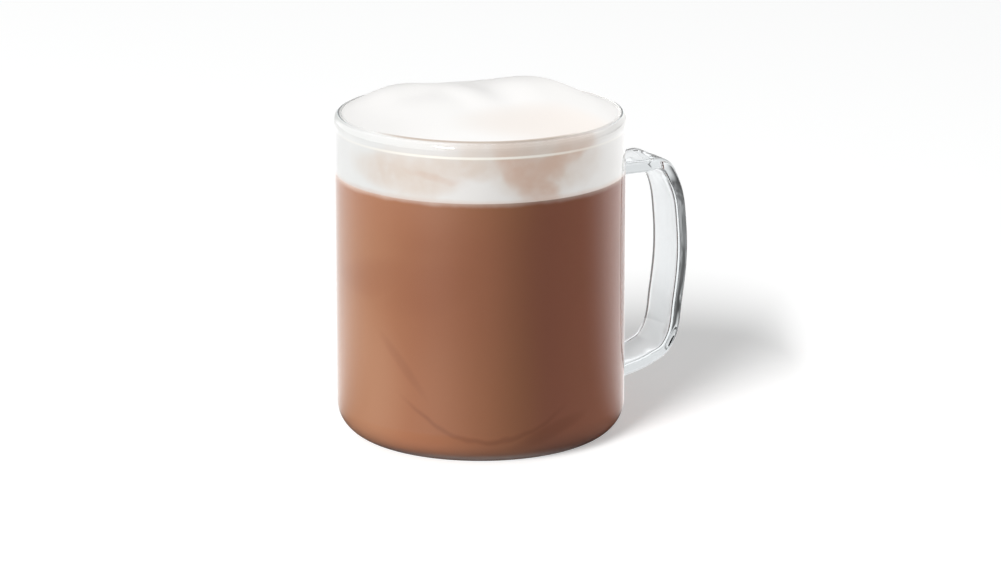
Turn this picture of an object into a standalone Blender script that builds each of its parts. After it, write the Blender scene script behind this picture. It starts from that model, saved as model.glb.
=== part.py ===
"""Hot chocolate in a clear glass mug, under a risen head of milk foam.

Units are metres, +Z is up, and the origin is the centre of the flat base.
The handle points along +X. The mug is one piece of glass, the chocolate fills
it up to a level below the rim, and the foam lies on the chocolate and swells
over the rim.
"""

from math import cos, exp, pi, radians, sin

import bmesh
import bpy

# Glass mug
MUG_RADIUS = 0.0430
MUG_HEIGHT = 0.0968
WALL = 0.0023
BASE_THICKNESS = 0.0034
BASE_CORNER = 0.0094
BEAD_BULGE = 0.00045
BEAD_HEIGHT = 0.0042

# Ribbon handle, whose middle line is given by its distance from the mug's axis and its height
HANDLE_WIDTH = 0.0162
HANDLE_THICKNESS = 0.0036
HANDLE_OUTER_ROUND = 0.0012
HANDLE_INNER_ROUND = 0.0007
HANDLE_INNER_CROWN = 0.0004
HANDLE_REACH = 0.0643
HANDLE_SINK = 0.0014
HANDLE_ROOT = MUG_RADIUS - HANDLE_SINK
HANDLE_TOP = 0.0763
HANDLE_BOTTOM = 0.0127
UPPER_ARM_END = (0.0511, 0.0764)
UPPER_BEND = (0.0578, 0.0762)
GRIP_TOP = (0.0614, 0.0716)
GRIP_WIDEST = (HANDLE_REACH, 0.0585)
GRIP_LOW = (0.0633, 0.0342)
GRIP_FOOT = (0.0595, 0.0196)
LOWER_ARM_START = (0.0545, 0.0164)

# Contents
GAP = 0.0003
DRINK_LEVEL = 0.0791
FOAM_EDGE = MUG_HEIGHT + 0.0003
FOAM_RISE = 0.0044
FOAM_SHOULDER = 1.0
FOAM_SWELL_FADE = 4.0

# Soft swells and hollows of the foam's top: x, y, height, reach along x, reach along y
FOAM_SWELLS = (
    (0.0185, -0.0034, 0.0050, 0.0104, 0.0165),
    (-0.0181, 0.0164, 0.0036, 0.0092, 0.0136),
    (-0.0040, 0.0031, 0.0013, 0.0036, 0.0110),
    (-0.0170, 0.0064, -0.0008, 0.0060, 0.0050),
)

# Fineness of the faceted surfaces
TURN_STEPS = 64
CORNER_STEPS = 5
RIM_STEPS = 6
BASE_CORNER_STEPS = 6
BEAD_STEPS = 6
FOAM_RINGS = 13
HANDLE_RESOLUTION = 6
HANDLE_CORNER_STEPS = 3
HANDLE_CROWN_STEPS = 4
MERGE = 0.00001
SHARP_ANGLE = radians(50.0)

INNER_RADIUS = MUG_RADIUS - WALL
INNER_CORNER = BASE_CORNER - (WALL + BASE_THICKNESS) / 2
RIM_ROUND = WALL / 2


def clear_scene():
    for old in list(bpy.data.objects):
        bpy.data.objects.remove(old, do_unlink=True)


def new_collection(name):
    collection = bpy.data.collections.new(name)
    bpy.context.scene.collection.children.link(collection)
    return collection


def make_material(name, colour, roughness, transmission=0.0, ior=1.45):
    material = bpy.data.materials.new(name)
    material.use_nodes = True
    shader = material.node_tree.nodes["Principled BSDF"]
    shader.inputs["Base Color"].default_value = (*colour, 1.0)
    shader.inputs["Roughness"].default_value = roughness
    shader.inputs["Metallic"].default_value = 0.0
    shader.inputs["Transmission Weight"].default_value = transmission
    shader.inputs["IOR"].default_value = ior
    material.diffuse_color = (*colour, 1.0)
    return material


def arc(centre, radius, start, end, steps):
    """Points of an arc in the turning plane, as (distance from the axis, height)."""
    points = []
    for i in range(steps + 1):
        angle = start + (end - start) * i / steps
        points.append((centre[0] + radius * cos(angle), centre[1] + radius * sin(angle)))
    return points


def profile_object(name, points, collection):
    """A chain of edges in the XZ plane, ready to be turned about Z."""
    mesh = bpy.data.meshes.new(name)
    vertices = [(x, 0.0, z) for x, z in points]
    edges = [(i, i + 1) for i in range(len(points) - 1)]
    mesh.from_pydata(vertices, edges, [])
    item = bpy.data.objects.new(name, mesh)
    collection.objects.link(item)
    return item


def add_turn(item):
    turn = item.modifiers.new("Turn", "SCREW")
    turn.axis = "Z"
    turn.angle = 2.0 * pi
    turn.steps = TURN_STEPS
    turn.render_steps = TURN_STEPS
    turn.use_merge_vertices = True
    turn.merge_threshold = MERGE
    turn.use_smooth_shade = True


def apply_to_mesh(item, collection):
    """Replaces an object by a plain mesh object of what its modifiers or its curve make."""
    name = item.name
    place = item.matrix_world.copy()
    graph = bpy.context.evaluated_depsgraph_get()
    mesh = bpy.data.meshes.new_from_object(item.evaluated_get(graph))
    bpy.data.objects.remove(item, do_unlink=True)
    body = bmesh.new()
    body.from_mesh(mesh)
    bmesh.ops.remove_doubles(body, verts=body.verts, dist=MERGE)
    bmesh.ops.recalc_face_normals(body, faces=body.faces)
    body.to_mesh(mesh)
    body.free()
    mesh.name = name
    solid = bpy.data.objects.new(name, mesh)
    solid.matrix_world = place
    collection.objects.link(solid)
    return solid


def bead_bulge(height):
    """How far the bead under the rim stands out from the wall at a height."""
    share = (MUG_HEIGHT - height) / BEAD_HEIGHT
    return BEAD_BULGE * sin(pi * min(max(share, 0.0), 1.0)) ** 2


def mug_profile():
    """The glass section, from the middle of the inner floor over the rim to the base."""
    floor_edge = INNER_RADIUS - INNER_CORNER
    inner_corner = arc(
        (floor_edge, BASE_THICKNESS + INNER_CORNER), INNER_CORNER, -pi / 2, 0.0, CORNER_STEPS
    )
    rim = arc((MUG_RADIUS - RIM_ROUND, MUG_HEIGHT - RIM_ROUND), RIM_ROUND, pi, 0.0, RIM_STEPS)
    rim = [(x + (bead_bulge(z) if x > MUG_RADIUS - RIM_ROUND else 0.0), z) for x, z in rim]
    bead = []
    bead_top = MUG_HEIGHT - RIM_ROUND
    bead_foot = MUG_HEIGHT - BEAD_HEIGHT
    for i in range(1, BEAD_STEPS + 1):
        height = bead_top + (bead_foot - bead_top) * i / BEAD_STEPS
        bead.append((MUG_RADIUS + bead_bulge(height), height))
    base_corner = arc(
        (MUG_RADIUS - BASE_CORNER, BASE_CORNER), BASE_CORNER, 0.0, -pi / 2, BASE_CORNER_STEPS
    )
    middle_of_floor = [(0.0, BASE_THICKNESS)]
    middle_of_base = [(0.0, 0.0)]
    return middle_of_floor + inner_corner + rim + bead + base_corner + middle_of_base


def crowned(x, y):
    """A point of the section, pushed out on the ribbon's inner side towards its middle."""
    if x < 0.0:
        return x, y
    return x + HANDLE_INNER_CROWN * (1.0 - (2.0 * y / HANDLE_WIDTH) ** 2), y


def handle_section(collection):
    """The ribbon's section, which the handle's path carries: +x is the side towards the mug."""
    points = []
    corners = (
        (1, 1, HANDLE_INNER_ROUND),
        (-1, 1, HANDLE_OUTER_ROUND),
        (-1, -1, HANDLE_OUTER_ROUND),
        (1, -1, HANDLE_INNER_ROUND),
    )
    for quarter, (side_x, side_y, radius) in enumerate(corners):
        middle_x = side_x * (HANDLE_THICKNESS / 2 - radius)
        middle_y = side_y * (HANDLE_WIDTH / 2 - radius)
        start = quarter * pi / 2
        points += arc((middle_x, middle_y), radius, start, start + pi / 2, HANDLE_CORNER_STEPS)
    flat = HANDLE_WIDTH / 2 - HANDLE_INNER_ROUND
    for i in range(1, HANDLE_CROWN_STEPS):
        points.append((HANDLE_THICKNESS / 2, flat * (2.0 * i / HANDLE_CROWN_STEPS - 1.0)))
    points = [crowned(x, y) for x, y in points]
    curve = bpy.data.curves.new("handle_section", "CURVE")
    curve.dimensions = "2D"
    curve.fill_mode = "NONE"
    spline = curve.splines.new("POLY")
    spline.points.add(len(points) - 1)
    for point, (x, y) in zip(spline.points, points):
        point.co = (x, y, 0.0, 1.0)
    spline.use_cyclic_u = True
    section = bpy.data.objects.new("handle_section", curve)
    collection.objects.link(section)
    return section


def make_handle(collection):
    """The glass ribbon, drawn along its bowed path and rooted inside the mug's wall."""
    section = handle_section(collection)
    path = [
        (HANDLE_ROOT, HANDLE_TOP),
        UPPER_ARM_END,
        UPPER_BEND,
        GRIP_TOP,
        GRIP_WIDEST,
        GRIP_LOW,
        GRIP_FOOT,
        LOWER_ARM_START,
        (HANDLE_ROOT, HANDLE_BOTTOM),
    ]
    curve = bpy.data.curves.new("handle", "CURVE")
    curve.dimensions = "2D"
    curve.resolution_u = HANDLE_RESOLUTION
    curve.bevel_mode = "OBJECT"
    curve.bevel_object = section
    curve.use_fill_caps = True
    spline = curve.splines.new("BEZIER")
    spline.bezier_points.add(len(path) - 1)
    for point, (x, z) in zip(spline.bezier_points, path):
        point.co = (x, z, 0.0)
        point.handle_left_type = "AUTO"
        point.handle_right_type = "AUTO"
    handle = bpy.data.objects.new("handle", curve)
    handle.rotation_euler = (pi / 2, 0.0, 0.0)
    collection.objects.link(handle)
    bpy.context.view_layer.update()
    handle = apply_to_mesh(handle, collection)
    bpy.data.objects.remove(section, do_unlink=True)
    handle.hide_render = True
    handle.display_type = "WIRE"
    return handle


def make_mug(collection, joined, material):
    mug = profile_object("glass_mug", mug_profile(), collection)
    add_turn(mug)
    union = mug.modifiers.new("Handle", "BOOLEAN")
    union.operation = "UNION"
    union.solver = "EXACT"
    union.object = make_handle(joined)
    mug.data.materials.append(material)
    return mug


def make_drink(collection, material):
    """The chocolate, from the inner floor up to its level."""
    side = INNER_RADIUS - GAP
    corner = INNER_CORNER - GAP
    bottom = BASE_THICKNESS + GAP
    level = DRINK_LEVEL - GAP / 2
    rounded = arc((side - corner, bottom + corner), corner, 0.0, -pi / 2, CORNER_STEPS)
    profile = [(0.0, level), (side, level)] + rounded + [(0.0, bottom)]
    drink = profile_object("hot_chocolate", profile, collection)
    add_turn(drink)
    drink.data.materials.append(material)
    return drink


def foam_height(x, y):
    """Height of the foam's top above its edge: a low dome with soft swells and hollows."""
    side = INNER_RADIUS - GAP
    share = min((x * x + y * y) / (side * side), 1.0)
    dome = FOAM_RISE * (1.0 - share**FOAM_SHOULDER)
    fade = 1.0 - share**FOAM_SWELL_FADE
    swells = 0.0
    for swell_x, swell_y, height, reach_x, reach_y in FOAM_SWELLS:
        away = ((x - swell_x) / reach_x) ** 2 + ((y - swell_y) / reach_y) ** 2
        swells += height * exp(-away / 2)
    return dome + fade * swells


def make_foam(collection, material):
    """The foam, turned as a flat slab whose top is then raised to its swells."""
    side = INNER_RADIUS - GAP
    top = [(side * i / FOAM_RINGS, FOAM_EDGE) for i in range(FOAM_RINGS + 1)]
    underside = DRINK_LEVEL + GAP / 2
    slab = profile_object("milk_foam", top + [(side, underside), (0.0, underside)], collection)
    add_turn(slab)
    foam = apply_to_mesh(slab, collection)
    for vertex in foam.data.vertices:
        if vertex.co.z > FOAM_EDGE - GAP:
            vertex.co.z = FOAM_EDGE + foam_height(vertex.co.x, vertex.co.y)
    foam.data.shade_smooth()
    foam.data.set_sharp_from_angle(angle=SHARP_ANGLE)
    foam.data.materials.append(material)
    return foam


def main():
    clear_scene()
    parts = new_collection("hot_chocolate_mug")
    joined = new_collection("joined_pieces")
    glass = make_material("clear_glass", (0.95, 0.97, 0.97), 0.02, transmission=1.0, ior=1.47)
    chocolate = make_material("hot_chocolate", (0.30, 0.13, 0.075), 0.35)
    foam = make_material("milk_foam", (0.90, 0.87, 0.83), 0.75)
    make_mug(parts, joined, glass)
    make_drink(parts, chocolate)
    make_foam(parts, foam)


main()
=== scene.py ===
"""Hot chocolate in a clear glass mug under a risen head of milk foam, on a pale studio floor.

The mug, the drink and the foam each replace their solid with a finer mesh of the same form.
Sizes are in metres. The camera's right and far side are the X and Y of the view frame,
which is the row frame turned about Z by VIEW_TURN.
"""

from math import cos, exp, pi, radians, sin

import bmesh
import bpy
from mathutils import Matrix, Vector


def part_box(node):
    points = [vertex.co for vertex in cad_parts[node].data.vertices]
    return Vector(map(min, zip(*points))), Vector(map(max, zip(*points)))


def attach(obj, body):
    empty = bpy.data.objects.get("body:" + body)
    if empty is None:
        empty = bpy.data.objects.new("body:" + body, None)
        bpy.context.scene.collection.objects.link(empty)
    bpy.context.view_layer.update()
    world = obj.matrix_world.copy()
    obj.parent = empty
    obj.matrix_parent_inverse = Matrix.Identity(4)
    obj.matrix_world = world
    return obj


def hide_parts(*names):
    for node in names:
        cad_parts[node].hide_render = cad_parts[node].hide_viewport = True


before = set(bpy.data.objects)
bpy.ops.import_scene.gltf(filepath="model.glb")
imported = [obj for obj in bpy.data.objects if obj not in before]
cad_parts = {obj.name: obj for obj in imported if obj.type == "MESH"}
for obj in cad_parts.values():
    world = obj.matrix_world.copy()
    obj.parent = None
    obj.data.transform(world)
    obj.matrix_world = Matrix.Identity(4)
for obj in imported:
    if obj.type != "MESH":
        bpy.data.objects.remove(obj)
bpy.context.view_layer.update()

# Mug, with the same driving sizes as the solid
MUG_RADIUS = 0.0430
MUG_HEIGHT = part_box("glass_mug")[1][2]
WALL = 0.0023
BASE_THICKNESS = 0.0034
BASE_CORNER = 0.0094
BEAD_BULGE = 0.00045
BEAD_HEIGHT = 0.0042
INNER_RADIUS = MUG_RADIUS - WALL
INNER_CORNER = BASE_CORNER - (WALL + BASE_THICKNESS) / 2
RIM_ROUND = WALL / 2

# Handle
HANDLE_WIDTH = 0.0162
HANDLE_THICKNESS = 0.0036
HANDLE_OUTER_ROUND = 0.0012
HANDLE_INNER_ROUND = 0.0007
HANDLE_INNER_CROWN = 0.0004
HANDLE_ROOT = MUG_RADIUS - 0.0014
HANDLE_PATH = (
    (HANDLE_ROOT, 0.0763),
    (0.0511, 0.0764),
    (0.0578, 0.0762),
    (0.0614, 0.0716),
    (0.0643, 0.0585),
    (0.0633, 0.0342),
    (0.0595, 0.0196),
    (0.0545, 0.0164),
    (HANDLE_ROOT, 0.0127),
)

# Contents, which reach a little into the glass so that no air gap shows
INTO_WALL = 0.0001
DRINK_LEVEL = 0.0791
FOAM_EDGE = MUG_HEIGHT + 0.0003
FOAM_RISE = 0.0044

# The foam's swells: the middle of each, its height and its reach along X and Y
FOAM_SWELLS = (
    (0.0185, -0.0034, 0.0050, 0.0104, 0.0165),
    (-0.0181, 0.0164, 0.0036, 0.0092, 0.0136),
    (-0.0040, 0.0031, 0.0013, 0.0036, 0.0110),
    (-0.0170, 0.0064, -0.0008, 0.0060, 0.0050),
)

# Camera, found from the photograph's perspective
VIEW_TURN = radians(-27.0)
CAMERA_LENS = 158.0
CAMERA_SENSOR = 36.0
CAMERA_DISTANCE = 1.309
CAMERA_ELEVATION = 0.2613
CAMERA_TARGET = (0.00595, 0.0, 0.04506)

# Studio lamps: each an ellipse hung between two directions, given as azimuth and elevation in
# degrees, with its distance, width and power, and what it lights
LAMPS = (
    ("key", ((226.0, 49.0), (250.0, 29.5)), 6.0, 0.40, 369.0, ("floor", "glass_mug", "milk_foam")),
    ("rim", ((12.0, 8.0), (32.0, 8.0)), 4.0, 1.0, 160.0, ("glass_mug", "hot_chocolate", "milk_foam")),
    ("low", ((226.0, 7.0), (250.0, 3.0)), 6.0, 0.40, 287.0, ("hot_chocolate",)),
    ("side", ((183.0, 9.0), (205.0, 9.0)), 4.0, 1.2, 136.0, ("hot_chocolate",)),
    ("foam_side", ((183.0, 9.0), (205.0, 9.0)), 4.0, 1.2, 38.0, ("milk_foam",)),
    ("foam_fill", ((300.0, 6.0), (325.0, 6.0)), 4.0, 1.0, 24.0, ("milk_foam",)),
)

# Clear glass, with one tint in the mug's wall and a deeper one in the handle, which starts
# between these two distances from the axis
CLEAR = (0.97, 0.985, 0.98)
CLEAR_THICK = (0.84, 0.855, 0.865)
HANDLE_START = (0.0440, 0.0460)
GLASS_SHADE = (0.96, 0.96, 0.96)
GLASS_DEPTH = (0.90, 0.94, 0.95)
GLASS_DENSITY = 30.0

# Below, a mark is an oval in the view frame: its middle across and up, its reach across and up,
# and its lean. On the foam's top and on the floor, up means away from the camera. A fade is two
# values of a coordinate or a noise, with what it gives at each where that isn't 0 and 1. A sway
# is the scale of a soft noise and how far it moves a coordinate.

# The drink's tones from left to right, painted light and shade that is paler on the lit left, and what
# lies over them
DRINK_PAINTED_SHADING = (
    (-0.036, (0.286, 0.125, 0.062)),
    (-0.015, (0.234, 0.083, 0.036)),
    (0.008, (0.266, 0.103, 0.055)),
    (0.021, (0.240, 0.087, 0.053)),
)
DRINK_CLOUD = (0.250, 0.110, 0.055)
DRINK_WARM = (0.205, 0.068, 0.030)
# Painted light: paler low and high on the left, along the foot and on the lower left corner
DRINK_PAINTED_LIGHT = (0.280, 0.114, 0.057)
DRINK_FOOT_LIGHT = (0.365, 0.150, 0.080)
DRINK_CORNER_LIGHT = (0.34, 0.172, 0.098)
# Dark of a swirl's streak, and of the painted ring line and painted shade near the foot
DRINK_DARK = (0.165, 0.055, 0.030)
CLOUD_FADE = (0.35, 0.70, 0.0, 0.12)
WARM_BLOTS = (
    (-0.0150, 0.0530, 0.0110, 0.0080, 0.6),
    (-0.0290, 0.0540, 0.0090, 0.0060, 0.8),
)
WARM_DEPTH = 0.30
# Painted light, paler low and high, fading out towards the right
PAINTED_LIGHT_LOW = (0.018, 0.050, 0.75, 0.0)
PAINTED_LIGHT_HIGH = (0.064, 0.079, 0.0, 0.65)
PAINTED_LIGHT_RIGHT = (0.006, 0.022, 1.0, 0.0)
# Painted light along the foot, weaker towards the right
FOOT_LIGHT_UP = (0.0035, 0.0110, 1.0, 0.0)
FOOT_LIGHT_RIGHT = (-0.012, 0.020, 1.0, 0.20)
# Painted light on the lower left corner
LIT_CORNER_PATCH = (-0.0370, 0.0200, 0.0130, 0.0220, 0.0)
CORNER_LIGHT_DEPTH = 0.55

# Painted refraction near the drink's foot: the dark line that the glass base's ring shows through it,
# bowed up towards both ends
RING_IMAGE_HEIGHT = 0.0075
RING_IMAGE_BOW = 19.3
RING_IMAGE_LOWEST = 0.003
RING_IMAGE_MIDDLE = 0.001
RING_IMAGE_FADE = (0.0001, 0.0014, 0.42, 0.0)
RING_IMAGE_ENDS = (0.016, 0.026, 1.0, 0.0)
RING_IMAGE_SWAY = (110.0, 0.0030)
# A stirred swirl's streak on the left
SWIRL_STREAK = (-0.0219, 0.0290, 0.0016, 0.0080, -0.7)
STREAK_DEPTH = 0.22
# Painted shade: a darker patch at the right end of the ring line, on the shaded side
PAINTED_SHADE_PATCH = (0.0200, 0.0095, 0.0050, 0.0036, 1.9)
PAINTED_SHADE_DEPTH = 0.45

# Where drink and foam meet, each takes on a little of the other
LEVEL_SWAY = (160.0, 0.0012)
DRINK_LINE = (DRINK_LEVEL - 0.0016, DRINK_LEVEL + 0.0004, 0.0, 0.45)
FOAM_LINE = (DRINK_LEVEL - 0.0002, DRINK_LEVEL + 0.0016, 0.5, 0.0)

# The foam's top: painted light and shade in tones that fade in from left to right, a peach patch, and
# a painted refraction along its front edge: the dark line of the rim's inner edge
TOP_SHADING_LEFT = (0.785, 0.775, 0.762)
TOP_PAINTED_SHADING = (
    (-0.034, -0.010, (0.845, 0.835, 0.822)),
    (0.008, 0.032, (0.765, 0.755, 0.742)),
)
TOP_BRIGHT = (0.86, 0.855, 0.85)
BRIGHT_FADE = (0.30, 0.75, 0.0, 0.25)
PEACH = (0.80, 0.745, 0.70)
PEACH_PATCH = (0.022, -0.026, 0.024, 0.012, 0.0)
PEACH_DEPTH = 0.8
PAINTED_RIM_LINE = (0.55, 0.47, 0.41)
EDGE_OUT = (0.0398, 0.0403)
EDGE_FRONT = (-0.036, -0.026, 1.0, 0.0)
TOP_START = (FOAM_EDGE - 0.0004, FOAM_EDGE - 0.0001)

# The foam's side behind the glass: painted light and shade in tones that fade in from left to right,
# streaks of chocolate in groups of one tone and depth, and a painted highlight line under the rim's
# bead
SIDE_SHADING_LEFT = (0.785, 0.778, 0.765)
SIDE_PAINTED_SHADING = (
    (-0.034, 0.000, (0.80, 0.770, 0.750)),
    (0.004, 0.024, (0.84, 0.810, 0.790)),
    (0.032, 0.040, (0.76, 0.740, 0.725)),
)
TAN = (0.64, 0.45, 0.36)
PALE_TAN = (0.70, 0.60, 0.53)
FOAM_STREAKS = (
    (PALE_TAN, 0.95, (
        (-0.0200, 0.0868, 0.0135, 0.0060, 0.0),
        (-0.0010, 0.0900, 0.0150, 0.0040, 0.0),
        (0.0175, 0.0890, 0.0135, 0.0080, 0.0),
    )),
    (TAN, 0.35, (
        (-0.0130, 0.0868, 0.0050, 0.0016, -3.0),
    )),
    (TAN, 0.90, (
        (0.0120, 0.0890, 0.0060, 0.0080, -0.50),
        (0.0155, 0.0850, 0.0044, 0.0066, -0.75),
        (0.0215, 0.0900, 0.0060, 0.0062, 0.95),
    )),
    (PALE_TAN, 0.80, (
        (0.0120, 0.0955, 0.0190, 0.0030, 0.0),
    )),
)
STREAKS_ACROSS_SWAY = (110.0, 0.0065)
STREAKS_UP_SWAY = (140.0, 0.0040)
WISP_FADE = (0.25, 0.65, 0.70, 1.0)
# Painted highlight: the bright line where the rim's bead catches the light, with its height, half
# width and fade towards the ends
PAINTED_HIGHLIGHT = (0.99, 0.95, 0.88)
HIGHLIGHT_RING = 0.0926
HIGHLIGHT_HALF = 0.0007
HIGHLIGHT_ENDS = (0.012, 0.040, 0.85, 0.3)

# The floor's colour as it is seen, its own glow and the darker colour in which it throws light
# back, and the light of the dome, which fades in with height
FLOOR_SIZE = 12.0
FLOOR_SHOWN = (0.75, 0.75, 0.75)
FLOOR_GLOW = (0.380, 0.384, 0.383)
FLOOR_RETURN = (0.22, 0.22, 0.22)
BLACK = (0.0, 0.0, 0.0)
DOME = (0.35, 0.95, 0.02, 0.40)

# The floor as glass mirrors it: dark, with a pale part. For rays that only glance off the glass
# the pale part lies all round the back. For rays that have been inside the glass it is a strip
# that runs back from the mug, widens to the right and has a dark gap across its left side, where
# the floor is streaky grey, and a patch that the handle's upper bend picks up.
MIRRORED_FLOOR = (0.10, 0.10, 0.10)
MIRRORED_STRIP = (1.2, 1.2, 1.2)
BACK_AWAY = (0.042, 0.052)
BACK_BEARING = (-0.2, 0.6)
STRIP_FRONT = (-0.12, -0.04)
STRIP_LEFT = (-0.09, -0.04)
STRIP_RIGHT = (0.08, 0.13, 1.0, 0.0)
STRIP_WIDENING = (0.05, 0.30, 0.0, 0.12)
STRIP_SLANT = 0.466
STRIP_SLANTED = (0.055, 0.085)
GAP_START = (0.085, 0.115, 1.0, 0.0)
GAP_END = (0.19, 0.25)
GREY_SLANTED = (-0.01, 0.05, 0.22, 0.0)
GREY_LINES = (0.35, 0.65, 0.5, 1.6)
BEND_PATCH = (0.003, 0.104, 0.031, 0.031, 0.0)

# The room as glass shows it, by direction: dim, with a pale wall behind the mug and above, and
# for rays that only glance off the glass brighter soft boxes on the left and overhead
MIRRORED_ROOM = 0.06
MIRRORED_WALL = 0.95
MIRRORED_BOX = 2.20
WALL_BEHIND = (0.72, 0.86, MIRRORED_ROOM, MIRRORED_WALL)
WALL_ABOVE = (0.0, 0.25, MIRRORED_ROOM, MIRRORED_WALL)
BOX_LEFT = (-0.55, -0.25, MIRRORED_BOX, 0.0)
BOX_ABOVE = (0.35, 0.65, 0.0, MIRRORED_BOX)

# Points closer than this are joined
MERGE = 0.000001


def from_view(x, y, z=0.0):
    """A point of the view frame in the row frame."""
    return Matrix.Rotation(VIEW_TURN, 3, "Z") @ Vector((x, y, z))


# Shapes

def arc(centre, radius, start, end, steps):
    points = []
    for i in range(steps + 1):
        angle = start + (end - start) * i / steps
        points.append((centre[0] + radius * cos(angle), centre[1] + radius * sin(angle)))
    return points


def stretch(start, end, steps):
    """Points along a straight line of a profile, without its two ends."""
    points = []
    for i in range(1, steps):
        share = i / steps
        points.append((start[0] + (end[0] - start[0]) * share, start[1] + (end[1] - start[1]) * share))
    return points


def link(item):
    bpy.context.scene.collection.objects.link(item)
    return item


def mesh_of(item):
    """Applies an object's modifiers or curve into a plain mesh object of the same name."""
    name = item.name
    place = item.matrix_world.copy()
    graph = bpy.context.evaluated_depsgraph_get()
    mesh = bpy.data.meshes.new_from_object(item.evaluated_get(graph))
    bpy.data.objects.remove(item, do_unlink=True)
    mesh.transform(place)
    body = bmesh.new()
    body.from_mesh(mesh)
    bmesh.ops.remove_doubles(body, verts=body.verts, dist=MERGE)
    bmesh.ops.recalc_face_normals(body, faces=body.faces)
    body.to_mesh(mesh)
    body.free()
    mesh.name = name
    return link(bpy.data.objects.new(name, mesh))


def turned(name, profile, steps):
    mesh = bpy.data.meshes.new(name)
    vertices = [(x, 0.0, z) for x, z in profile]
    mesh.from_pydata(vertices, [(i, i + 1) for i in range(len(profile) - 1)], [])
    item = link(bpy.data.objects.new(name, mesh))
    turn = item.modifiers.new("Turn", "SCREW")
    turn.angle = 2.0 * pi
    turn.steps = steps
    turn.render_steps = steps
    turn.use_merge_vertices = True
    turn.merge_threshold = MERGE
    return mesh_of(item)


def bead_bulge(height):
    share = (MUG_HEIGHT - height) / BEAD_HEIGHT
    return BEAD_BULGE * sin(pi * min(max(share, 0.0), 1.0)) ** 2


def mug_profile():
    floor_edge = INNER_RADIUS - INNER_CORNER
    inner_corner = arc(
        (floor_edge, BASE_THICKNESS + INNER_CORNER), INNER_CORNER, -pi / 2, 0.0, 16
    )
    rim = arc((MUG_RADIUS - RIM_ROUND, MUG_HEIGHT - RIM_ROUND), RIM_ROUND, pi, 0.0, 24)
    rim = [(x + (bead_bulge(z) if x > MUG_RADIUS - RIM_ROUND else 0.0), z) for x, z in rim]
    bead_top = MUG_HEIGHT - RIM_ROUND
    bead_foot = MUG_HEIGHT - BEAD_HEIGHT
    bead = [
        (MUG_RADIUS + bead_bulge(height), height)
        for _, height in stretch((0.0, bead_top), (0.0, bead_foot), 20)
    ]
    base_corner = arc((MUG_RADIUS - BASE_CORNER, BASE_CORNER), BASE_CORNER, 0.0, -pi / 2, 20)
    inner_wall = stretch(inner_corner[-1], rim[0], 12)
    outer_wall = stretch((MUG_RADIUS, bead_foot), base_corner[0], 16)
    return (
        [(0.0, BASE_THICKNESS)]
        + inner_corner
        + inner_wall
        + rim
        + bead
        + [(MUG_RADIUS, bead_foot)]
        + outer_wall
        + base_corner
        + [(0.0, 0.0)]
    )


def crowned(x, y):
    """A point of the ribbon's section, pushed out on its inner side towards its middle."""
    if x < 0.0:
        return x, y
    return x + HANDLE_INNER_CROWN * (1.0 - (2.0 * y / HANDLE_WIDTH) ** 2), y


def handle_section():
    points = []
    corners = (
        (1, 1, HANDLE_INNER_ROUND),
        (-1, 1, HANDLE_OUTER_ROUND),
        (-1, -1, HANDLE_OUTER_ROUND),
        (1, -1, HANDLE_INNER_ROUND),
    )
    for quarter, (side_x, side_y, radius) in enumerate(corners):
        middle = (side_x * (HANDLE_THICKNESS / 2 - radius), side_y * (HANDLE_WIDTH / 2 - radius))
        start = quarter * pi / 2
        points += arc(middle, radius, start, start + pi / 2, 8)
    flat = HANDLE_WIDTH / 2 - HANDLE_INNER_ROUND
    points += stretch((HANDLE_THICKNESS / 2, -flat), (HANDLE_THICKNESS / 2, flat), 16)
    points = [crowned(x, y) for x, y in points]
    curve = bpy.data.curves.new("handle_section", "CURVE")
    curve.dimensions = "2D"
    curve.fill_mode = "NONE"
    spline = curve.splines.new("POLY")
    spline.points.add(len(points) - 1)
    for point, (x, y) in zip(spline.points, points):
        point.co = (x, y, 0.0, 1.0)
    spline.use_cyclic_u = True
    return link(bpy.data.objects.new("handle_section", curve))


def make_handle():
    section = handle_section()
    curve = bpy.data.curves.new("handle", "CURVE")
    curve.dimensions = "2D"
    curve.resolution_u = 18
    curve.bevel_mode = "OBJECT"
    curve.bevel_object = section
    curve.use_fill_caps = True
    spline = curve.splines.new("BEZIER")
    spline.bezier_points.add(len(HANDLE_PATH) - 1)
    for point, (x, z) in zip(spline.bezier_points, HANDLE_PATH):
        point.co = (x, z, 0.0)
        point.handle_left_type = "AUTO"
        point.handle_right_type = "AUTO"
    handle = link(bpy.data.objects.new("handle", curve))
    handle.rotation_euler = (radians(90.0), 0.0, 0.0)
    bpy.context.view_layer.update()
    handle = mesh_of(handle)
    bpy.data.objects.remove(section, do_unlink=True)
    return handle


def make_mug():
    """The one piece of glass: the turned body joined with the ribbon handle."""
    mug = turned("mug_glass", mug_profile(), 224)
    handle = make_handle()
    union = mug.modifiers.new("Handle", "BOOLEAN")
    union.operation = "UNION"
    union.solver = "EXACT"
    union.object = handle
    mug = mesh_of(mug)
    bpy.data.objects.remove(handle, do_unlink=True)
    mug.data.shade_smooth()
    mug.data.set_sharp_from_angle(angle=radians(40.0))
    return mug


def make_drink():
    side = INNER_RADIUS + INTO_WALL
    corner = INNER_CORNER
    bottom = BASE_THICKNESS - INTO_WALL
    top = [(0.0, DRINK_LEVEL), (side, DRINK_LEVEL)]
    rounded = arc((side - corner, bottom + corner), corner, 0.0, -pi / 2, 16)
    drink = turned("chocolate_drink", top + rounded + [(0.0, bottom)], 192)
    drink.data.shade_smooth()
    drink.data.set_sharp_from_angle(angle=radians(40.0))
    return drink


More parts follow.
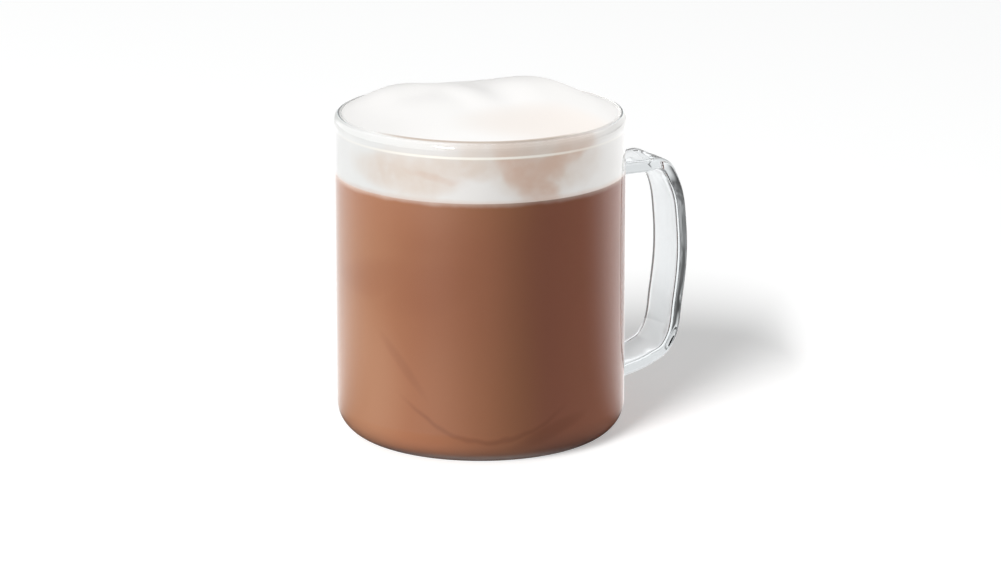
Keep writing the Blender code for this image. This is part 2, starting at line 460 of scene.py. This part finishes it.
def foam_height(x, y):
    side = INNER_RADIUS
    share = min((x * x + y * y) / (side * side), 1.0)
    dome = FOAM_RISE * (1.0 - share)
    swells = 0.0
    for swell_x, swell_y, height, reach_x, reach_y in FOAM_SWELLS:
        away = ((x - swell_x) / reach_x) ** 2 + ((y - swell_y) / reach_y) ** 2
        swells += height * exp(-away / 2.0)
    return dome + (1.0 - share**4) * swells


def make_foam():
    """The foam's head, from the drink's level up to its soft swells."""
    side = INNER_RADIUS + INTO_WALL
    rings = 70
    top = [(side * i / rings, FOAM_EDGE) for i in range(rings + 1)]
    wall = stretch(top[-1], (side, DRINK_LEVEL), 24)
    foam = turned("foam_head", top + wall + [(side, DRINK_LEVEL), (0.0, DRINK_LEVEL)], 192)
    for vertex in foam.data.vertices:
        if vertex.co.z > FOAM_EDGE - MERGE:
            vertex.co.z = FOAM_EDGE + foam_height(vertex.co.x, vertex.co.y)
    foam.data.shade_smooth()
    foam.data.set_sharp_from_angle(angle=radians(50.0))
    return foam


# Materials

def new_material(name):
    material = bpy.data.materials.new(name)
    material.use_nodes = True
    return material, material.node_tree, material.node_tree.nodes["Principled BSDF"]


def noise(tree, vector, scale, detail=2.0, roughness=0.5, distortion=0.0):
    node = tree.nodes.new("ShaderNodeTexNoise")
    node.inputs["Scale"].default_value = scale
    node.inputs["Detail"].default_value = detail
    node.inputs["Roughness"].default_value = roughness
    node.inputs["Distortion"].default_value = distortion
    tree.links.new(vector, node.inputs["Vector"])
    return node.outputs["Fac"]


def view_point(tree, kind="Object"):
    """The object's point, turned into the view frame: X to the right, Y away, Z up, in metres."""
    place = tree.nodes.new("ShaderNodeTexCoord")
    turn = tree.nodes.new("ShaderNodeVectorRotate")
    turn.rotation_type = "Z_AXIS"
    turn.inputs["Angle"].default_value = -VIEW_TURN
    tree.links.new(place.outputs[kind], turn.inputs["Vector"])
    return turn.outputs["Vector"]


def parts_of(tree, vector):
    split = tree.nodes.new("ShaderNodeSeparateXYZ")
    tree.links.new(vector, split.inputs["Vector"])
    return [split.outputs[axis] for axis in "XYZ"]


def maths(tree, operation, *values):
    """A Math node on numbers and other nodes' outputs."""
    node = tree.nodes.new("ShaderNodeMath")
    node.operation = operation
    for socket, value in zip(node.inputs, values):
        if isinstance(value, (int, float)):
            socket.default_value = value
        else:
            tree.links.new(value, socket)
    return node.outputs[0]


def mixed(tree, factor, first, second):
    """Mixes two colours, each a tuple or another node's output, by a factor."""
    node = tree.nodes.new("ShaderNodeMix")
    node.data_type = "RGBA"
    tree.links.new(factor, node.inputs["Factor"])
    for socket, value in (("A", first), ("B", second)):
        target = [i for i in node.inputs if i.name == socket and i.type == "RGBA"][0]
        if isinstance(value, tuple):
            target.default_value = (*value, 1.0)
        else:
            tree.links.new(value, target)
    return [o for o in node.outputs if o.type == "RGBA"][0]


def ranged(tree, value, low, high, to_low=0.0, to_high=1.0):
    node = tree.nodes.new("ShaderNodeMapRange")
    node.interpolation_type = "SMOOTHSTEP"
    node.inputs["From Min"].default_value = low
    node.inputs["From Max"].default_value = high
    node.inputs["To Min"].default_value = to_low
    node.inputs["To Max"].default_value = to_high
    tree.links.new(value, node.inputs["Value"])
    return node.outputs["Result"]


def product(tree, first, *others):
    for other in others:
        first = maths(tree, "MULTIPLY", first, other)
    return first


def greatest(tree, first, *others):
    for other in others:
        first = maths(tree, "MAXIMUM", first, other)
    return first


def squared(tree, value):
    return product(tree, value, value)


def off_by(tree, value, middle):
    """How far a coordinate is from a place, on either side of it."""
    return maths(tree, "ABSOLUTE", maths(tree, "SUBTRACT", value, middle))


def from_axis(tree, x, y):
    """How far a point is from the mug's axis."""
    return maths(tree, "SQRT", maths(tree, "ADD", squared(tree, x), squared(tree, y)))


def blot(tree, across, up, place):
    """A soft-edged oval mark: its middle, its two reaches and its lean."""
    middle_across, middle_up, reach_across, reach_up, lean = place
    rise = maths(tree, "SUBTRACT", up, middle_up)
    run = maths(tree, "SUBTRACT", across, middle_across)
    run = maths(tree, "SUBTRACT", run, product(tree, rise, lean))
    run = squared(tree, maths(tree, "DIVIDE", run, reach_across))
    rise = squared(tree, maths(tree, "DIVIDE", rise, reach_up))
    return ranged(tree, maths(tree, "ADD", run, rise), 0.0, 2.0, 1.0, 0.0)


def blots(tree, across, up, places):
    return greatest(tree, *[blot(tree, across, up, place) for place in places])


def swayed(tree, point, value, scale, reach):
    """A coordinate moved to and fro by soft noise, so that marks aren't drawn with a ruler."""
    sway = maths(tree, "SUBTRACT", noise(tree, point, scale), 0.5)
    return maths(tree, "ADD", value, product(tree, sway, reach))


def ramp(tree, value, stops):
    """Colours that ease into each other from the mug's left side to its right."""
    node = tree.nodes.new("ShaderNodeValToRGB")
    node.color_ramp.interpolation = "EASE"
    elements = node.color_ramp.elements
    for index, (place, colour) in enumerate(stops):
        share = (place / MUG_RADIUS + 1.0) / 2.0
        element = elements[index] if index < 2 else elements.new(share)
        element.position = share
        element.color = (*colour, 1.0)
    share = maths(tree, "ADD", maths(tree, "DIVIDE", value, 2.0 * MUG_RADIUS), 0.5)
    tree.links.new(share, node.inputs["Fac"])
    return node.outputs["Color"]


def shaded(tree, value, colour, tones):
    """Tones that follow each other along a coordinate, each fading in between two places."""
    for low, high, tone in tones:
        colour = mixed(tree, ranged(tree, value, low, high), colour, tone)
    return colour


def glass_material():
    """Clear glass that lets lamps through to what it holds."""
    material, tree, shader = new_material("clear_glass")
    x, y, _ = parts_of(tree, view_point(tree))
    tint = mixed(tree, ranged(tree, from_axis(tree, x, y), *HANDLE_START), CLEAR, CLEAR_THICK)
    tree.links.new(tint, shader.inputs["Base Color"])
    shader.inputs["Transmission Weight"].default_value = 1.0
    shader.inputs["IOR"].default_value = 1.47
    shader.inputs["Roughness"].default_value = 0.0
    path = tree.nodes.new("ShaderNodeLightPath")
    clear = tree.nodes.new("ShaderNodeBsdfTransparent")
    clear.inputs["Color"].default_value = (*GLASS_SHADE, 1.0)
    depth = tree.nodes.new("ShaderNodeVolumeAbsorption")
    depth.inputs["Color"].default_value = (*GLASS_DEPTH, 1.0)
    depth.inputs["Density"].default_value = GLASS_DENSITY
    output = tree.nodes["Material Output"]
    tree.links.new(depth.outputs["Volume"], output.inputs["Volume"])
    mix = tree.nodes.new("ShaderNodeMixShader")
    either = greatest(tree, path.outputs["Is Shadow Ray"], path.outputs["Is Diffuse Ray"])
    tree.links.new(either, mix.inputs["Fac"])
    tree.links.new(shader.outputs["BSDF"], mix.inputs[1])
    tree.links.new(clear.outputs["BSDF"], mix.inputs[2])
    tree.links.new(mix.outputs["Shader"], output.inputs["Surface"])
    return material


def drink_tones(tree, point):
    """Milky brown in soft clouds with two warmer blots, and painted light and shade: paler on the lit
    left, low and high, along the foot and on the lower left corner.
    """
    x, _, z = parts_of(tree, point)
    clouds = noise(tree, point, 45.0, detail=3.0, distortion=0.8)
    clouds = ranged(tree, clouds, *CLOUD_FADE)
    # Painted light and shade from left to right, under soft clouds
    colour = mixed(tree, clouds, ramp(tree, x, DRINK_PAINTED_SHADING), DRINK_CLOUD)
    warm = product(tree, blots(tree, x, z, WARM_BLOTS), WARM_DEPTH)
    colour = mixed(tree, warm, colour, DRINK_WARM)
    # Painted light, paler low and high on the left
    pale = greatest(tree, ranged(tree, z, *PAINTED_LIGHT_LOW), ranged(tree, z, *PAINTED_LIGHT_HIGH))
    pale = product(tree, pale, ranged(tree, x, *PAINTED_LIGHT_RIGHT))
    colour = mixed(tree, pale, colour, DRINK_PAINTED_LIGHT)
    # Painted light along the foot
    foot = product(tree, ranged(tree, z, *FOOT_LIGHT_UP), ranged(tree, x, *FOOT_LIGHT_RIGHT))
    colour = mixed(tree, foot, colour, DRINK_FOOT_LIGHT)
    # Painted light on the lower left corner
    corner = product(tree, blot(tree, x, z, LIT_CORNER_PATCH), CORNER_LIGHT_DEPTH)
    return mixed(tree, corner, colour, DRINK_CORNER_LIGHT)


def ring_image_streak_and_shade(tree, point):
    """Painted refraction of the glass base's ring as a bowed dark line, painted shade at its right
    end, and a swirl's streak on the left.
    """
    x, _, z = parts_of(tree, point)
    # Painted refraction: the dark line of the glass base's ring
    bow = product(tree, squared(tree, maths(tree, "SUBTRACT", x, RING_IMAGE_LOWEST)), RING_IMAGE_BOW)
    height = swayed(tree, point, maths(tree, "SUBTRACT", z, bow), *RING_IMAGE_SWAY)
    line = ranged(tree, off_by(tree, height, RING_IMAGE_HEIGHT), *RING_IMAGE_FADE)
    line = product(tree, line, ranged(tree, off_by(tree, x, RING_IMAGE_MIDDLE), *RING_IMAGE_ENDS))
    streak = product(tree, blot(tree, x, z, SWIRL_STREAK), STREAK_DEPTH)
    # Painted shade at the line's right end
    painted_shade = product(tree, blot(tree, x, z, PAINTED_SHADE_PATCH), PAINTED_SHADE_DEPTH)
    return greatest(tree, line, streak, painted_shade)


def drink_material():
    """Milky chocolate with painted light and shade, a painted refraction of the base's ring and a
    swirl's streak, softly milky where it meets the foam.
    """
    material, tree, shader = new_material("milky_chocolate")
    point = view_point(tree)
    colour = mixed(tree, ring_image_streak_and_shade(tree, point), drink_tones(tree, point), DRINK_DARK)
    _, _, z = parts_of(tree, point)
    milk = ranged(tree, swayed(tree, point, z, *LEVEL_SWAY), *DRINK_LINE)
    colour = mixed(tree, milk, colour, PALE_TAN)
    tree.links.new(colour, shader.inputs["Base Color"])
    shader.inputs["Roughness"].default_value = 0.45
    shader.inputs["Specular IOR Level"].default_value = 0.2
    return material


def foam_top(tree, point):
    """White foam in soft clouds, with painted light and shade from left to right, peach at the front
    right, and a painted dark line along the front edge where the rim's inner edge shows.
    """
    x, y, _ = parts_of(tree, point)
    clouds = noise(tree, point, 40.0, detail=4.0, roughness=0.6)
    clouds = ranged(tree, clouds, *BRIGHT_FADE)
    # Painted light and shade from left to right, under soft clouds
    colour = mixed(tree, clouds, shaded(tree, x, TOP_SHADING_LEFT, TOP_PAINTED_SHADING), TOP_BRIGHT)
    peach = product(tree, blot(tree, x, y, PEACH_PATCH), PEACH_DEPTH)
    colour = mixed(tree, peach, colour, PEACH)
    # Painted refraction: the dark line of the rim's inner edge, along the front
    edge = ranged(tree, from_axis(tree, x, y), *EDGE_OUT)
    edge = product(tree, edge, ranged(tree, y, *EDGE_FRONT))
    return mixed(tree, edge, colour, PAINTED_RIM_LINE)


def foam_side(tree, point):
    """Foam behind the glass, with painted light and shade, wispy streaks of chocolate and a painted
    highlight line under the bead.
    """
    x, _, z = parts_of(tree, point)
    # Painted light and shade from left to right
    colour = shaded(tree, x, SIDE_SHADING_LEFT, SIDE_PAINTED_SHADING)
    across = swayed(tree, point, x, *STREAKS_ACROSS_SWAY)
    up = swayed(tree, point, z, *STREAKS_UP_SWAY)
    wisps = noise(tree, point, 260.0, detail=3.0, roughness=0.6)
    wisps = ranged(tree, wisps, *WISP_FADE)
    for tone, depth, places in FOAM_STREAKS:
        streaks = product(tree, blots(tree, across, up, places), wisps, depth)
        colour = mixed(tree, streaks, colour, tone)
    low = ranged(tree, swayed(tree, point, z, *LEVEL_SWAY), *FOAM_LINE)
    colour = mixed(tree, low, colour, TAN)
    # Painted highlight under the bead
    ring = ranged(tree, off_by(tree, z, HIGHLIGHT_RING), HIGHLIGHT_HALF / 3, HIGHLIGHT_HALF, 1.0, 0.0)
    ring = product(tree, ring, ranged(tree, maths(tree, "ABSOLUTE", x), *HIGHLIGHT_ENDS))
    return mixed(tree, ring, colour, PAINTED_HIGHLIGHT)


def foam_material():
    """Fine white foam with small bubbles, streaked where chocolate has run through it, with painted
    light, shade and highlight.
    """
    material, tree, shader = new_material("milk_foam")
    point = view_point(tree)
    _, _, z = parts_of(tree, point)
    above = ranged(tree, z, *TOP_START)
    colour = mixed(tree, above, foam_side(tree, point), foam_top(tree, point))
    tree.links.new(colour, shader.inputs["Base Color"])
    shader.inputs["Roughness"].default_value = 0.8
    shader.inputs["Specular IOR Level"].default_value = 0.15
    bump = tree.nodes.new("ShaderNodeBump")
    bump.inputs["Strength"].default_value = 0.15
    bump.inputs["Distance"].default_value = 0.0003
    bubbles = noise(tree, point, 1400.0, detail=3.0, roughness=0.7)
    tree.links.new(bubbles, bump.inputs["Height"])
    tree.links.new(bump.outputs["Normal"], shader.inputs["Normal"])
    return material


# Studio

def make_camera():
    back = from_view(0.0, -cos(CAMERA_ELEVATION), sin(CAMERA_ELEVATION))
    target = from_view(*CAMERA_TARGET)
    lens = bpy.data.cameras.new("camera")
    lens.lens = CAMERA_LENS
    lens.sensor_width = CAMERA_SENSOR
    lens.clip_end = 20.0
    camera = link(bpy.data.objects.new("camera", lens))
    camera.location = target + back * CAMERA_DISTANCE
    camera.rotation_euler = (-back).to_track_quat("-Z", "Y").to_euler()
    bpy.context.scene.camera = camera


def polar(distance, azimuth, elevation):
    """A place round the mug, its azimuth counted in the view frame from the right."""
    azimuth = radians(azimuth)
    elevation = radians(elevation)
    flat = distance * cos(elevation)
    return from_view(flat * cos(azimuth), flat * sin(azimuth), distance * sin(elevation))


def area_light(name, ends, distance, width, power):
    """An elliptical lamp between two directions, facing the middle of the mug."""
    start, end = (polar(distance, azimuth, elevation) for azimuth, elevation in ends)
    aim = Vector((0.0, 0.0, MUG_HEIGHT / 2))
    back = ((start + end) / 2 - aim).normalized()
    along = (end - start).normalized()
    across = back.cross(along).normalized()
    lamp = bpy.data.lights.new(name, "AREA")
    lamp.shape = "ELLIPSE"
    lamp.size = (end - start).length
    lamp.size_y = width
    lamp.energy = power
    item = link(bpy.data.objects.new(name, lamp))
    turn = Matrix((across.cross(back), across, back)).transposed()
    item.matrix_world = Matrix.Translation((start + end) / 2) @ turn.to_4x4()
    return item


def hang_lamps(items):
    """Hangs the lamps, each lighting only what it is for. The rim lamp isn't mirrored."""
    for name, ends, distance, width, power, lit in LAMPS:
        lamp = area_light(name, ends, distance, width, power)
        lamp.visible_glossy = name != "rim"
        receivers = bpy.data.collections.new("lit_by_" + name)
        for node in lit:
            receivers.objects.link(items[node])
        lamp.light_linking.receiver_collection = receivers


def pale_floor(tree, point, outside):
    """How much of the pale part a mirrored ray sees where it meets the floor."""
    x, y, _ = parts_of(tree, point)
    away = from_axis(tree, x, y)
    bearing = maths(tree, "DIVIDE", y, away)
    back = product(tree, ranged(tree, bearing, *BACK_BEARING), ranged(tree, away, *BACK_AWAY))

    slanted = maths(tree, "ADD", x, product(tree, y, STRIP_SLANT))
    past_gap = greatest(tree, ranged(tree, y, *GAP_START), ranged(tree, y, *GAP_END))
    past_gap = greatest(tree, past_gap, ranged(tree, slanted, *STRIP_SLANTED))
    right = maths(tree, "SUBTRACT", x, ranged(tree, y, *STRIP_WIDENING))
    sides = product(tree, ranged(tree, x, *STRIP_LEFT), ranged(tree, right, *STRIP_RIGHT))
    strip = product(tree, past_gap, sides, ranged(tree, y, *STRIP_FRONT))
    lines = ranged(tree, noise(tree, point, 70.0, detail=1.0), *GREY_LINES)
    grey = product(tree, ranged(tree, slanted, *GREY_SLANTED), lines)
    strip = greatest(tree, strip, blot(tree, x, y, BEND_PATCH), grey)

    inside = maths(tree, "SUBTRACT", 1.0, outside)
    return greatest(tree, product(tree, strip, inside), product(tree, back, outside))


def make_floor():
    """A pale floor with a soft glow, which throws less light back than it shows."""
    bpy.ops.mesh.primitive_plane_add(size=FLOOR_SIZE)
    floor = bpy.context.object
    floor.name = "floor"
    material, tree, shader = new_material("floor")
    shader.inputs["Roughness"].default_value = 1.0
    shader.inputs["Specular IOR Level"].default_value = 0.0
    path = tree.nodes.new("ShaderNodeLightPath")
    returned = path.outputs["Is Diffuse Ray"]
    mirrored = maths(tree, "GREATER_THAN", path.outputs["Glossy Depth"], 0.5)
    outside = maths(tree, "LESS_THAN", path.outputs["Transmission Depth"], 0.5)
    colour = mixed(tree, returned, FLOOR_SHOWN, FLOOR_RETURN)
    glow = mixed(tree, returned, FLOOR_GLOW, BLACK)
    mirrored_glow = mixed(tree, pale_floor(tree, view_point(tree), outside), BLACK, MIRRORED_STRIP)
    tree.links.new(mixed(tree, mirrored, colour, MIRRORED_FLOOR), shader.inputs["Base Color"])
    tree.links.new(mixed(tree, mirrored, glow, mirrored_glow), shader.inputs["Emission Color"])
    shader.inputs["Emission Strength"].default_value = 1.0
    floor.data.materials.append(material)
    return floor


def make_world():
    """A dome that lights softly from overhead, and a separate room for the glass to mirror."""
    world = bpy.data.worlds.new("studio")
    bpy.context.scene.world = world
    world.use_nodes = True
    tree = world.node_tree
    background = tree.nodes["Background"]
    background.inputs["Color"].default_value = (1.0, 1.0, 1.0, 1.0)
    right, away, up = parts_of(tree, view_point(tree, "Generated"))
    path = tree.nodes.new("ShaderNodeLightPath")
    by_glass = path.outputs["Is Singular Ray"]
    outside = maths(tree, "LESS_THAN", path.outputs["Transmission Depth"], 0.5)
    wall = greatest(tree, ranged(tree, away, *WALL_BEHIND), ranged(tree, up, *WALL_ABOVE))
    boxes = greatest(tree, ranged(tree, right, *BOX_LEFT), ranged(tree, up, *BOX_ABOVE))
    room = product(tree, greatest(tree, wall, product(tree, boxes, outside)), by_glass)
    dome = product(tree, ranged(tree, up, *DOME), maths(tree, "SUBTRACT", 1.0, by_glass))
    tree.links.new(maths(tree, "ADD", room, dome), background.inputs["Strength"])


make_camera()
items = {"floor": make_floor()}
make_world()

for make, finish, node, slot in (
    (make_mug, glass_material, "glass_mug", "clear_glass"),
    (make_drink, drink_material, "hot_chocolate", "hot_chocolate"),
    (make_foam, foam_material, "milk_foam", "milk_foam"),
):
    piece = make()
    piece.data.materials.clear()
    piece.data.materials.append(finish())
    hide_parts(node)
    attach(piece, "root")
    items[node] = piece

hang_lamps(items)
bpy.context.scene.view_settings.view_transform = "Standard"
